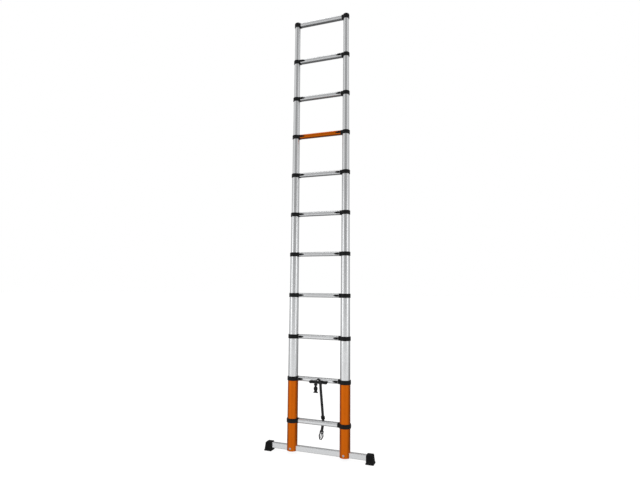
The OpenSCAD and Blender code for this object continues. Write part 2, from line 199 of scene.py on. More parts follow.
class Shaping:
    """Edit mode on one piece. Corners, edges or faces are picked by their place, then worked on."""

    def __init__(self, piece):
        self.piece = piece

    def __enter__(self):
        only(self.piece)
        bpy.ops.object.mode_set(mode="EDIT")
        bpy.ops.mesh.select_all(action="DESELECT")
        return self

    def __exit__(self, *problem):
        bpy.ops.object.mode_set(mode="OBJECT")

    def pick(self, kind, wanted=lambda part: True):
        """Picks each VERT, EDGE or FACE that wanted() says yes to."""
        bpy.ops.mesh.select_mode(type=kind)
        bpy.ops.mesh.select_all(action="DESELECT")
        mesh = bmesh.from_edit_mesh(self.piece.data)
        mesh.normal_update()
        parts = {"VERT": mesh.verts, "EDGE": mesh.edges, "FACE": mesh.faces}[kind]
        for part in parts:
            if wanted(part):
                part.select_set(True)
        mesh.select_flush_mode()
        bmesh.update_edit_mesh(self.piece.data)

    def extrude(self, move=(0, 0, 0)):
        bpy.ops.mesh.extrude_region_move(TRANSFORM_OT_translate={"value": move})

    def move(self, by):
        bpy.ops.transform.translate(value=by)

    def resize(self, by, about):
        bpy.ops.transform.resize(value=by, center_override=about)

    def inset(self, thickness, depth=0.0):
        bpy.ops.mesh.inset(thickness=thickness, depth=depth)

    def bevel(self, width, segments=2):
        bpy.ops.mesh.bevel(offset=width, segments=segments, affect="EDGES", clamp_overlap=True)

    def cut(self, place, normal):
        """Cuts everything with a plane, leaving both sides."""
        self.pick("FACE")
        bpy.ops.mesh.bisect(plane_co=place, plane_no=normal)

    def merge(self, distance=1e-6):
        self.pick("VERT")
        bpy.ops.mesh.remove_doubles(threshold=distance)

    def face_outwards(self):
        self.pick("FACE")
        bpy.ops.mesh.normals_make_consistent(inside=False)


def middle(part):
    """The middle of an edge or a face."""
    return sum((corner.co for corner in part.verts), Vector()) / len(part.verts)


def run(edge, axis):
    """How far an edge runs along an axis."""
    return abs((edge.verts[1].co - edge.verts[0].co)[axis])


def runs_along(edge, axis):
    return run(edge, axis) > 0.99 * (edge.verts[1].co - edge.verts[0].co).length


def is_sharp(edge):
    return edge.calc_face_angle(0) > math.radians(50)


def at(value, place, near=1e-5):
    return abs(value - place) < near


def both_at(edge, axis, place):
    return all(at(corner.co[axis], place) for corner in edge.verts)


def put(piece, place=(0, 0, 0), turn=(0, 0, 0)):
    """Turns a piece about the origin, moves it, and puts both into its mesh."""
    only(piece)
    piece.rotation_euler = turn
    piece.location = place
    bpy.ops.object.transform_apply(location=True, rotation=True, scale=True)
    return piece


ORIGIN = (0, 0, 0)
ALONG_X = (0, math.radians(90), 0)
TO_FRONT = (math.radians(90), 0, 0)


def turned(name, steps, place=(0, 0, 0), turn=(0, 0, 0), segments=64):
    """A circle taken through (radius, height) steps. Equal ends make a ring, and others are closed."""
    tiny = 1e-6
    radius, height = steps[0]
    radius = max(radius, tiny)
    piece = start(name, bpy.ops.mesh.primitive_circle_add, vertices=segments, radius=radius,
                  fill_type="NOTHING", location=(0, 0, height))
    with Shaping(piece) as work:
        work.pick("EDGE")
        for next_radius, next_height in steps[1:]:
            next_radius = max(next_radius, tiny)
            work.extrude((0, 0, next_height - height))
            work.resize((next_radius / radius, next_radius / radius, 1), (0, 0, next_height))
            radius, height = next_radius, next_height
        work.merge(2.5 * tiny)
        if steps[0] != steps[-1]:
            work.pick("EDGE", lambda edge: edge.is_boundary)
            bpy.ops.mesh.edge_face_add()
        work.face_outwards()
    return put(piece, place, turn)


def rounded_block(name, low, high, axis, radius, ease, segments=6):
    """A box between two corners, with its edges along one axis rounded and those at its ends eased."""
    low, high = Vector(low), Vector(high)
    piece = cube(name, (low + high) / 2, high - low)
    with Shaping(piece) as work:
        work.pick("EDGE", lambda edge: runs_along(edge, axis))
        work.bevel(radius, segments)
        if ease:
            work.pick("EDGE", lambda edge: any(both_at(edge, axis, end[axis]) for end in (low, high)))
            work.bevel(ease, 2)
    return piece


def block(name, about, low, high, axis, radius, ease=0):
    """A rounded block whose corners are given in millimetres from a place."""
    corners = [[base + offset * MM for base, offset in zip(about, corner)] for corner in (low, high)]
    return rounded_block(name, *corners, axis, radius * MM, ease * MM)


def modified(piece, kind, **settings):
    """Puts a modifier on a piece and applies it."""
    only(piece)
    step = piece.modifiers.new(kind, kind)
    for name, value in settings.items():
        setattr(step, name, value)
    bpy.ops.object.modifier_apply(modifier=step.name)
    return piece


def combine(piece, tool, operation):
    """Works on a piece with another one, which is used up."""
    modified(piece, "BOOLEAN", operation=operation, object=tool, solver="EXACT")
    bpy.data.objects.remove(tool)
    return piece


def fuse(piece, other):
    return combine(piece, other, "UNION")


def carve(piece, tool):
    return combine(piece, tool, "DIFFERENCE")


def ease_edges(piece, width, segments=2, above=30):
    """Rounds every sharp edge a little."""
    return modified(piece, "BEVEL", width=width, segments=segments, limit_method="ANGLE",
                    angle_limit=math.radians(above), harden_normals=False)


def copy_of(piece, name, by=(0, 0, 0)):
    """A copy with its own mesh, moved."""
    only(piece)
    bpy.ops.object.duplicate()
    twin = bpy.context.object
    twin.name = name
    twin.data.name = name
    return put(twin, by)


def mirrored(piece, name):
    """A copy on the other side of the ladder."""
    twin = copy_of(piece, name)
    twin.scale.x = -1
    bpy.ops.object.transform_apply(location=False, rotation=False, scale=True)
    with Shaping(twin) as work:
        work.face_outwards()
    return twin


def joined(name, pieces):
    """Separate solids that belong to one piece."""
    only(pieces[0])
    for piece in pieces[1:]:
        piece.select_set(True)
    bpy.ops.object.join()
    bpy.context.object.name = name
    bpy.context.object.data.name = name
    return bpy.context.object


def on_both_sides(name, piece):
    return joined(name, [piece, mirrored(piece, name + "_twin")])


def painted(piece, material):
    piece.data.materials.clear()
    piece.data.materials.append(material)
    return piece


SLOT_LOOKS = {"black_nylon": "grained_nylon", "black_rubber": "matt_rubber", "steel": "zinc_steel",
              "webbing": "woven_webbing"}


def hand_over(piece, body, slot, *nodes):
    """Paints and shades a finished piece, hangs it on its body and hides the CAD nodes that it stands for."""
    if not piece.data.materials:
        painted(piece, finish(SLOT_LOOKS[slot]))
    only(piece)
    bpy.ops.object.shade_smooth_by_angle(angle=math.radians(35))
    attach(piece, body)
    if nodes:
        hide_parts(*nodes)
    return piece


# ---- Shader maths ----

class Wire:
    """A shader socket. Python arithmetic on it adds Math nodes."""

    def __init__(self, paint, socket):
        self.paint = paint
        self.socket = socket

    def math(self, operation, *others, clamp=False):
        values = dict(enumerate((self, *others)))
        return self.paint.node("ShaderNodeMath", {"operation": operation, "use_clamp": clamp}, values)

    def __add__(self, other):
        return self.math("ADD", other)

    def __sub__(self, other):
        return self.math("SUBTRACT", other)

    def __rsub__(self, other):
        return (self * -1) + other

    def __mul__(self, other):
        return self.math("MULTIPLY", other)

    def over(self, edge, width):
        """0 below edge, 1 above edge + width."""
        return ((self - edge) * (1 / width)).math("MINIMUM", 1).math("MAXIMUM", 0)

    def sine(self):
        return self.math("SINE")


class NodePage:
    """A node tree that is filled from nothing."""

    def __init__(self, tree):
        self.tree = tree
        tree.nodes.clear()

    def node(self, kind, settings=None, values=None, out=0):
        """Adds a node, its settings first, then its sockets' values. No out gives a chooser of outputs."""
        node = self.tree.nodes.new(kind)
        for name, value in (settings or {}).items():
            setattr(node, name, value)
        for name, value in (values or {}).items():
            self.feed(node.inputs[name], value)
        if out is None:
            return lambda name: Wire(self, node.outputs[name])
        return Wire(self, node.outputs[out])

    def feed(self, socket, value):
        if isinstance(value, Wire):
            self.tree.links.new(value.socket, socket)
        else:
            socket.default_value = value

    def ramp(self, share, stops):
        """A grey that runs through (place, value) stops."""
        grey = self.node("ShaderNodeValToRGB", {}, {"Fac": share}, "Color")
        elements = grey.socket.node.color_ramp.elements
        while len(elements) < len(stops):
            elements.new(0.5)
        for element, (place, value) in zip(elements, stops):
            element.position = place
            element.color = (value, value, value, 1)
        return grey


class Paint(NodePage):
    """One procedural material on Object coordinates."""

    def __init__(self, name):
        self.material = bpy.data.materials.new(name)
        self.material.use_nodes = True
        super().__init__(self.material.node_tree)
        output = self.tree.nodes.new("ShaderNodeOutputMaterial")
        self.shader = self.tree.nodes.new("ShaderNodeBsdfPrincipled")
        self.tree.links.new(self.shader.outputs["BSDF"], output.inputs["Surface"])
        self.place = self.node("ShaderNodeTexCoord", out="Object")

    def set(self, **values):
        """Feeds the shader's own sockets, named with underscores for spaces."""
        for name, value in values.items():
            self.feed(self.shader.inputs[name.replace("_", " ")], value)

    def stretched(self, scale):
        values = {"Vector": self.place, "Scale": scale}
        return self.node("ShaderNodeMapping", {"vector_type": "POINT"}, values, "Vector")

    def noise(self, scale, detail=2.0, where=None):
        values = {"Vector": where or self.place, "Scale": scale, "Detail": detail}
        return self.node("ShaderNodeTexNoise", {}, values, "Fac")

    def cells(self, scale):
        values = {"Vector": self.place, "Scale": scale}
        return self.node("ShaderNodeTexVoronoi", {"feature": "F1"}, values, "Distance")

    def mix(self, share, first, second):
        """From the first colour to the second."""
        return self.node("ShaderNodeMix", {"data_type": "RGBA"}, {0: share, 6: first, 7: second}, 2)

    def bump(self, height, strength, distance):
        values = {"Height": height, "Strength": strength, "Distance": distance}
        return self.node("ShaderNodeBump", {}, values, "Normal")

    def axis(self, letter):
        return self.node("ShaderNodeSeparateXYZ", {}, {"Vector": self.place}, letter)


def shade(colour, by):
    """A colour made lighter or darker."""
    return tuple(min(1.0, part * by) for part in colour[:3]) + (1.0,)


RUN_SCALES = {"Z": (900, 900, 3), "X": (3, 900, 900)}
ACROSS_SCALES = {"Z": (25, 25, 1400), "X": (1400, 25, 25)}


def extruded_metal(name, colour, run, roughness=0.27, scuffed=0.5):
    """Anodised extrusion: fine lines along its run, faint rub marks across them, and cloudy gloss."""
    paint = Paint(name)
    lines = paint.noise(1.0, 3.0, paint.stretched(RUN_SCALES[run]))
    rubs = paint.noise(1.0, 2.0, paint.stretched(ACROSS_SCALES[run])).over(0.60, 0.12)
    patches = paint.noise(7.0, 3.0).over(0.50, 0.25)
    clouds = paint.noise(16.0, 2.0)
    specks = paint.noise(420.0, 2.0).over(0.68, 0.06)
    wear = rubs * patches * scuffed
    tone = paint.mix(lines, shade(colour, 0.86), shade(colour, 1.08))
    tone = paint.mix(wear * 0.5, tone, shade(colour, 1.25))
    tone = paint.mix(specks * 0.18, tone, shade(colour, 0.55))
    height = lines * 0.7 + wear * 0.5
    gloss = lines * 0.10 + clouds * 0.12 + wear * 0.15 + (roughness - 0.10)
    paint.set(Base_Color=tone, Metallic=1.0, Roughness=gloss, Normal=paint.bump(height, 0.10, 0.15 * MM))
    return paint.material


# Height from the floor where a foot's dusty bloom ends, and the bloom's colour
DUST_HEIGHT = 0.045
DUST_COLOUR = (0.060, 0.058, 0.054, 1)


def moulded_nylon(name, colour):
    """Spark-eroded mould grain, a little gloss, and paler rubbed edges."""
    paint = Paint(name)
    grain = paint.noise(1500.0, 3.0)
    pits = paint.cells(1100.0)
    clouds = paint.noise(22.0, 3.0)
    edge = paint.node("ShaderNodeNewGeometry", out="Pointiness").over(0.53, 0.10)
    rubbed = edge * paint.noise(140.0, 3.0).over(0.38, 0.3)
    tone = paint.mix(clouds, shade(colour, 0.8), shade(colour, 1.35))
    tone = paint.mix(rubbed * 0.4, tone, shade(colour, 4.0))
    paint.set(Base_Color=tone, Roughness=grain * 0.16 + clouds * 0.10 + rubbed * 0.10 + 0.32,
              Specular_IOR_Level=0.2,
              Normal=paint.bump(grain * 0.6 + pits * 0.6, 0.22, 0.12 * MM))
    return paint.material


def foot_rubber(name, colour):
    """Matt rubber with a dusty bloom that is stronger near the floor."""
    paint = Paint(name)
    grain = paint.noise(900.0, 4.0)
    dust = paint.noise(45.0, 4.0).over(0.42, 0.35)
    low = paint.axis("Z") * -1 + DUST_HEIGHT
    dusty = dust * low.over(0.0, DUST_HEIGHT)
    tone = paint.mix(grain, shade(colour, 0.8), shade(colour, 1.5))
    tone = paint.mix(dusty * 0.35, tone, DUST_COLOUR)
    paint.set(Base_Color=tone, Roughness=grain * 0.15 + dusty * 0.1 + 0.62, Specular_IOR_Level=0.15,
              Normal=paint.bump(grain, 0.35, 0.2 * MM))
    return paint.material


def zinc_steel(name, colour):
    """Bright zinc plate with soft spangle and turning marks."""
    paint = Paint(name)
    spangle = paint.cells(260.0)
    fine = paint.noise(1800.0, 2.0)
    tone = paint.mix(spangle, shade(colour, 0.82), shade(colour, 1.12))
    paint.set(Base_Color=tone, Metallic=1.0, Roughness=spangle * 0.12 + fine * 0.12 + 0.2,
              Normal=paint.bump(fine, 0.12, 0.05 * MM))
    return paint.material


RIB_PITCH = 1.25 * MM
PICK_PITCH = 0.95 * MM


def woven_webbing(name, colour):
    """Flat-woven webbing: warp ribs crossed by weft picks, with a slight sheen. Its map is in metres."""
    paint = Paint(name)
    webbing_map = paint.node("ShaderNodeTexCoord", out="UV")
    across_along = paint.node("ShaderNodeSeparateXYZ", {}, {"Vector": webbing_map}, None)
    ribs = (across_along("X") * (2 * math.pi / RIB_PITCH)).sine()
    picks = (across_along("Y") * (2 * math.pi / PICK_PITCH) + ribs * 0.8).sine()
    weave = ribs * picks * 0.5 + 0.5
    fuzz = paint.noise(900.0, 3.0)
    tone = paint.mix(weave, shade(colour, 0.7), shade(colour, 2.4))
    tone = paint.mix(fuzz.over(0.62, 0.1) * 0.4, tone, shade(colour, 3.5))
    paint.set(Base_Color=tone, Roughness=fuzz * 0.15 + 0.68, Sheen_Weight=0.08, Sheen_Roughness=0.5,
              Normal=paint.bump(weave * 0.8 + fuzz * 0.2, 0.6, 0.35 * MM))
    return paint.material


def sewing_thread(name, colour):
    """Twisted thread, a little paler than the webbing."""
    paint = Paint(name)
    twist = (paint.axis("Z") * 9000 + paint.axis("X") * 9000).sine() * 0.5 + 0.5
    paint.set(Base_Color=paint.mix(twist, shade(colour, 2.0), shade(colour, 6.0)), Roughness=0.6,
              Normal=paint.bump(twist, 0.5, 0.1 * MM))
    return paint.material


def studio_floor(name, colour):
    """Pale paper with the faintest mottle, lit through from below as well as from above."""
    paint = Paint(name)
    mottle = paint.noise(3.0, 2.0)
    paint.set(Base_Color=paint.mix(mottle, shade(colour, 0.37), shade(colour, 0.40)), Roughness=0.85,
              Specular_IOR_Level=0.1, Emission_Color=(1, 1, 1, 1), Emission_Strength=0.86)
    return paint.material


# The maker of each finish, the colour it takes, and what else it's told
LOOKS = {
    "aluminium_upright": (extruded_metal, "aluminium", "Z"),
    "aluminium_across": (extruded_metal, "aluminium", "X"),
    "orange_upright": (extruded_metal, "orange", "Z", 0.30, 0.35),
    "orange_across": (extruded_metal, "orange", "X", 0.30, 0.35),
    "grained_nylon": (moulded_nylon, "nylon"),
    "matt_rubber": (foot_rubber, "rubber"),
    "zinc_steel": (zinc_steel, "steel"),
    "woven_webbing": (woven_webbing, "webbing"),
    "thread": (sewing_thread, "webbing"),
}


def finish(name):
    """The material of that name, made the first time that it is asked for."""
    maker, colour, *rest = LOOKS[name]
    return bpy.data.materials.get(name) or maker(name, getattr(colours(), colour), *rest)


# ---- Shapes that several pieces share ----

BLOCK_HALF_DEPTH = RUNG_HALF_DEPTH + 1 * MM
BLOCK_HALF_HEIGHT = RUNG_HALF + 1 * MM
BLOCK_CORNER = 11 * MM
FIT = 0.05 * MM
SLIDE = 0.4 * MM
TUBE_WALL = 1.5 * MM
HALF_COLLAR = 15 * MM
SEAT_TOP = 12 * MM
HOUSING_REACH = 72 * MM
SPIGOT_REACH = 16 * MM
PIN_RADIUS = 4 * MM
# The latch's pocket in a collar: its middle from the tube's surface, and its size
POCKET_MID = (48.1 * MM, (-40 + 8.8) / 2 * MM)
POCKET_SIZE = (41.8 * MM, 48.8 * MM, 17.6 * MM)


def ring_outside(outer, top=HALF_COLLAR, crown=4 * MM):
    """Steps up the outside of a collar: an eased lower edge, a grip groove and a sloping shoulder."""
    bottom = -HALF_COLLAR
    groove = top - 9 * MM
    return [
        (outer - 2.2 * MM, bottom), (outer - 1.0 * MM, bottom + 0.3 * MM),
        (outer - 0.3 * MM, bottom + 1.0 * MM), (outer, bottom + 2.2 * MM), (outer, groove),
        (outer - 0.6 * MM, groove + 0.4 * MM), (outer - 0.6 * MM, groove + 1.4 * MM),
        (outer, groove + 1.8 * MM), (outer, top - 4.2 * MM), (outer - 0.3 * MM, top - 2.8 * MM),
        (outer - 1.2 * MM, top - 1.3 * MM), (outer - 2.4 * MM, top - 0.35 * MM), (outer - crown, top),
    ]


def socket_block(name, k, spigot_to):
    """The block that rung k's left end butts against, with the spigot that goes into the rung."""
    z = rung_z(k)
    face = -rung_end(k)
    body = rounded_block(name, (-STILE_X, -BLOCK_HALF_DEPTH, z - BLOCK_HALF_HEIGHT),
                         (face, BLOCK_HALF_DEPTH, z + BLOCK_HALF_HEIGHT), 0, BLOCK_CORNER, 1.2 * MM)
    wall = 2 * MM + FIT
    spigot = rounded_block("spigot", (face - 2 * MM, wall - RUNG_HALF_DEPTH, z - RUNG_HALF + wall),
                           (spigot_to, RUNG_HALF_DEPTH - wall, z + RUNG_HALF - wall), 0, 8 * MM, 0.6 * MM)
    return fuse(body, spigot)


def guide_plug(k):
    """The cup in the lower end of the left tube of section k, with its wear flange and guide bands."""
    radius = tube_radius(k)
    inner = radius - TUBE_WALL - FIT
    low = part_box(f"stiles_{k}")[0].z
    cup = inner - 4 * MM
    top = 45.5 * MM
    bands = [step for band in range(3) for step in (
        (inner, (8 + 11 * band) * MM), (inner - 0.8 * MM, (8.6 + 11 * band) * MM),
        (inner - 0.8 * MM, (11.4 + 11 * band) * MM), (inner, (12 + 11 * band) * MM))]
    steps = [(3 * MM, 4 * MM), (3 * MM, -4 * MM), (radius - 0.8 * MM, -4 * MM), (radius, -3.2 * MM),
             (radius, 0), (inner, 0), *bands, (inner, top - 0.8 * MM), (inner - 0.8 * MM, top),
             (cup, top), (cup, 4 * MM), (3 * MM, 4 * MM)]
    return turned("guide_plug", steps, (-STILE_X, 0, low))


def collar(k):
    """The left collar at rung k: ring, block and latch housing in one moulding."""
    radius, z = tube_radius(k), rung_z(k)
    bore = radius + FIT
    guide = tube_radius(k + 1) + SLIDE
    outer = radius + shape().collar_proud
    place = (-STILE_X, 0, z)
    crown = outer - guide - 1.6 * MM
    ring = turned("ring", [(bore, -HALF_COLLAR), *ring_outside(outer, crown=crown),
                           (guide + 0.6 * MM, HALF_COLLAR), (guide, HALF_COLLAR - 0.6 * MM),
                           (guide, SEAT_TOP), (bore, SEAT_TOP), (bore, -HALF_COLLAR)], place)
    body = socket_block("collar", k, -STILE_X + radius + HOUSING_REACH)
    carve(body, turned("reamer", [(bore, -30 * MM), (bore, SEAT_TOP), (guide, SEAT_TOP),
                                  (guide, 30 * MM)], place))
    fuse(body, ring)
    surface = -STILE_X + radius
    carve(body, cube("pocket", (surface + POCKET_MID[0], POCKET_MID[1], z), POCKET_SIZE))
    bore_out = [(PIN_RADIUS + SLIDE, -6 * MM), (PIN_RADIUS + SLIDE, 28 * MM)]
    return carve(body, turned("drill", bore_out, (surface, 0, z), ALONG_X, 32))


# ---- The pieces ----

class LadderOperator(bpy.types.Operator):
    """Shared settings of the ladder's operators."""
    bl_options = {"REGISTER", "UNDO"}


class LADDER_OT_camera(LadderOperator):
    """Stands the camera in front of the ladder and to its right"""
    bl_idname = "ladder.camera"
    bl_label = "Camera"

    def execute(self, context):
        bpy.ops.object.select_all(action="DESELECT")
        bpy.ops.object.camera_add()
        camera = context.object
        camera.name = "camera"
        camera.data.lens = studio().lens
        camera.data.clip_end = 200
        turn = Matrix.Rotation(studio().turn, 4, "Z")
        tilt = Matrix.Rotation(math.radians(90) + studio().tilt, 4, "X")
        roll = Matrix.Rotation(studio().roll, 4, "Z")
        camera.matrix_world = Matrix.Translation(studio().eye) @ turn @ tilt @ roll
        context.scene.camera = camera
        return {"FINISHED"}


STRAP_ROUTE = [
    (25.5, -29, 501), (25.5, -28.7, 492), (25.7, -27, 478), (25.9, -24.3, 463), (26.3, -19.2, 438),
    (26.7, -14, 413), (27.1, -8.8, 388), (27.5, -3.5, 363), (27.9, 1.7, 338), (28.3, 7, 313),
    (28.6, 12.2, 288), (28.7, 17.3, 264), (28.4, 20.4, 250), (27.9, 22.6, 240), (27.2, 24, 230),
    (26, 24.5, 218), (24.2, 24.5, 204), (22.2, 24.5, 190), (19.95, 24.5, 176), (19, 24.5, 170),
]
SLIDER_AT = Vector((28.7, 17.5, 263)) * MM
SLIDER_TILT = math.radians(12)
PLUG_TOP = Vector((19, 24.5, 170)) * MM
PLUG_TILT = math.radians(9)
# Where the turned-back end of the webbing starts, and how many points short of the route it stops
TAIL_TOP = 0.212
TAIL_SHORT = 8
WEBBING_COLUMNS = 10


def route_length(route):
    return sum((b - a).length for a, b in zip(route, route[1:]))


def map_in_metres(piece, width, length):
    """Stretches a primitive's map to the webbing's real size."""
    for corner in piece.data.uv_layers.active.data:
        corner.uv = (corner.uv[0] * width, corner.uv[1] * length)


def flat_strap(name, route, width, thick):
    """A flat strap along a route: a grid laid on it point by point, given a thickness and soft edges."""
    rows, columns = len(route), WEBBING_COLUMNS
    strap = start(name, bpy.ops.mesh.primitive_grid_add, x_subdivisions=columns, y_subdivisions=rows - 1,
                  size=1)
    map_in_metres(strap, width, route_length(route))
    across = [(i / columns - 0.5) * width for i in range(columns + 1)]
    crown = 0.12 * thick
    for number, corner in enumerate(strap.data.vertices):
        row, column = divmod(number, columns + 1)
        along = (route[min(row + 1, rows - 1)] - route[max(row - 1, 0)]).normalized()
        outwards = along.cross(Vector((1, 0, 0))).normalized()
        sideways = outwards.cross(along)
        rise = crown * (1 - (2 * across[column] / width) ** 2)
        corner.co = route[row] + sideways * across[column] + outwards * rise
    modified(strap, "SOLIDIFY", thickness=thick, offset=0)
    with Shaping(strap) as work:
        work.face_outwards()
    return ease_edges(strap, 0.35 * thick, 2, 50)


class LADDER_OT_long_strap(LadderOperator):
    """Hangs the long strap from the handle, behind the lowest rung, down to the buckle's plug"""
    bl_idname = "ladder.long_strap"
    bl_label = "Long strap"

    def execute(self, context):
        route = [Vector(point) * MM for point in STRAP_ROUTE]
        fine = smooth_route(route, 6)
        strap = flat_strap("strap_webbing", fine, shape().webbing_width, shape().webbing_thick)
        # The turned-back end of the webbing, doubled behind the strap below the slider
        tail_start = min(range(len(fine)), key=lambda i: abs(fine[i].z - TAIL_TOP))
        tail_route = [point + Vector((0, 1.9 * MM, 0)) for point in fine[tail_start:-TAIL_SHORT]]
        tail = flat_strap("strap_tail", tail_route, shape().webbing_width - 1 * MM, shape().webbing_thick)
        stitches = box_stitch("strap_stitches", tail_route[2].z - 4 * MM, tail_route[-3].z, fine)
        plug = buckle_plug()
        slider = strap_slider()
        for piece in (tail, stitches):
            hand_over(piece, "base", "webbing")
        hand_over(plug, "base", "black_nylon", "buckle_plug")
        hand_over(slider, "base", "black_nylon")
        hand_over(strap, "base", "webbing", "long_strap")
        route_length(fine)
        return {"FINISHED"}


def smooth_route(route, parts):
    """Points between the route's own, on a smooth curve through them."""
    fine = []
    for i in range(len(route) - 1):
        before, after = route[max(i - 1, 0)], route[min(i + 2, len(route) - 1)]
        a, b = route[i], route[i + 1]
        for j in range(parts):
            t = j / parts
            fine.append(0.5 * (2 * a + (b - before) * t + (2 * before - 5 * a + 4 * b - after) * t ** 2
                               + (3 * a - before - 3 * b + after) * t ** 3))
    return fine + [route[-1]]


def stitch_row(name, start_at, end_at, front):
    """A row of short thread stitches between two points, lying on a surface that faces front."""
    pitch = 2.6 * MM
    line = end_at - start_at
    count = max(2, round(line.length / pitch))
    first = cube(name, (0, 0, 0), (0.55 * MM, 0.5 * MM, 1.9 * MM))
    with Shaping(first) as work:
        work.pick("FACE", lambda face: abs(face.normal.z) > 0.9)
        work.inset(0.1 * MM, 0.15 * MM)
        work.pick("EDGE", lambda edge: runs_along(edge, 2))
        work.bevel(0.16 * MM, 2)
    turn = math.atan2(line.x, line.z)
    pieces = []
    for i in range(count):
        spot = start_at + line * ((i + 0.5) / count) + front * 0.12 * MM
        stitch = copy_of(first, f"{name}_{i}")
        pieces.append(put(stitch, spot, (0, turn, 0)))
    bpy.data.objects.remove(first)
    return joined(name, pieces)


def box_stitch(name, top, bottom, route):
    """A sewn box with a cross in it, on the front of the strap."""
    def on_strap(z, side):
        near = min(route, key=lambda point: abs(point.z - z))
        return Vector((near.x + side * 7.5 * MM, near.y - 0.95 * MM, z))
    corners = {(side, end): on_strap(z, side) for side in (-1, 1) for end, z in ((1, top), (0, bottom))}
    front = Vector((0, -1, 0))
    runs = [((-1, 1), (1, 1)), ((-1, 0), (1, 0)), ((-1, 0), (-1, 1)), ((1, 0), (1, 1)),
            ((-1, 0), (1, 1)), ((-1, 1), (1, 0))]
    rows = [stitch_row(f"{name}_{i}", corners[a], corners[b], front) for i, (a, b) in enumerate(runs)]
    return painted(joined(name, rows), finish("thread"))


def buckle_plug():
    """The plug half of the side-release buckle: webbing bar, guide pin and two sprung arms."""
    body = block("plug_moulding", ORIGIN, (-14, -3.5, -20), (14, 3.5, 0), 1, 2.5, 0.8)
    carve(body, block("slot", ORIGIN, (-11, -6, -14), (11, 6, -10), 1, 1.5))
    carve(body, block("recess", ORIGIN, (-8, -5, -8), (8, -2.4, -3), 1, 1.5))
    pin = cube("pin", (0, 0, -21 * MM), (6 * MM, 4 * MM, 6 * MM))
    with Shaping(pin) as work:
        work.pick("FACE", lambda face: face.normal.z < -0.9)
        for drop, narrow in ((10, 0.95), (12, 0.9), (6, 0.6)):
            work.extrude((0, 0, -drop * MM))
            work.resize((narrow, narrow, 1), (0, 0, 0))
    fuse(body, ease_edges(pin, 0.5 * MM))
    for side in (-1, 1):
        fuse(body, buckle_arm(side))
    ease_edges(body, 0.35 * MM, 2, 50)
    return put(body, PLUG_TOP, (0, PLUG_TILT, 0))


def buckle_arm(side):
    """One sprung arm: it leaves the body, swells into the finger shoulder and narrows to its barb."""
    arm = cube("arm", (side * 10.5 * MM, 0, -19 * MM), (7 * MM, 6 * MM, 4 * MM))
    # Each step: outward shift of the arm's middle, drop and width ratio
    steps = ((1.0, 5, 1.0), (1.6, 5, 1.1), (0.6, 5, 1.05), (-0.9, 6, 1.0), (-2.4, 6, 1.0), (-2.8, 7, 1.0),
             (-2.4, 6, 0.95), (-1.4, 4, 0.7))
    with Shaping(arm) as work:
        work.pick("FACE", lambda face: face.normal.z < -0.9)
        place = side * 10.5
        for shift, drop, width in steps:
            place += side * shift
            work.extrude((side * shift * MM, 0, -drop * MM))
            work.resize((width, 1, 1), (place * MM, 0, 0))
    return ease_edges(arm, 0.8 * MM, 3)


def strap_slider():
    """The three-bar slider that sets the strap's length, just above the lowest rung."""
    slider = block("strap_slider", ORIGIN, (-15, -2, -12), (15, 2, 12), 1, 4, 0.7)
    for z in (-6, 6):
        carve(slider, block("slot", ORIGIN, (-10.8, -6, z - 2.2), (10.8, 6, z + 2.2), 1, 1))
    for z in (-1.6, 0, 1.6):
        fuse(slider, block("rib", ORIGIN, (-9, -2.5, z - 0.4), (9, -1.6, z + 0.4), 0, 0.2))
    return put(slider, SLIDER_AT, (SLIDER_TILT, 0, 0))


class LADDER_OT_collars(LadderOperator):
    """Moulds the collars of rungs 2 to 10, with the guide plugs of their own tubes"""
    bl_idname = "ladder.collars"
    bl_label = "Collars"

    def execute(self, context):
        for k in range(2, RUNG_COUNT):
            solids = [collar(k)] + ([guide_plug(k)] if k > 2 else [])
            piece = on_both_sides(f"collar_pair_{k}", joined("collar", solids))
            hand_over(piece, section_body(k), "black_nylon", f"collars_{k}")
        return {"FINISHED"}


class LADDER_OT_top_caps(LadderOperator):
    """Moulds the domed caps of the top rung, with the last tubes' guide plugs"""
    bl_idname = "ladder.top_caps"
    bl_label = "Top caps"

    def execute(self, context):
        k = RUNG_COUNT
        radius, z = tube_radius(k), rung_z(k)
        bore, outer = radius + FIT, radius + shape().collar_proud
        place = (-STILE_X, 0, z)
        dome = [(outer * math.cos(math.radians(a)) ** 0.8,
                 HALF_COLLAR - 2 * MM + (shape().cap_dome + 2 * MM) * math.sin(math.radians(a)))
                for a in range(15, 90, 15)]
        outside = [step for step in ring_outside(outer) if step[1] <= 8 * MM]
        ring = turned("cap", [(0, SEAT_TOP), (bore, SEAT_TOP), (bore, -HALF_COLLAR), *outside,
                              (outer, HALF_COLLAR - 2 * MM), *dome,
                              (0, HALF_COLLAR + shape().cap_dome)], place)
        body = socket_block("top_cap", k, -rung_end(k) + SPIGOT_REACH)
        carve(body, turned("reamer", [(bore, -30 * MM), (bore, SEAT_TOP)], place))
        fuse(body, ring)
        piece = on_both_sides("top_cap_pair", joined("top_cap", [body, guide_plug(k)]))
        hand_over(piece, section_body(k), "black_nylon", "top_caps")
        return {"FINISHED"}


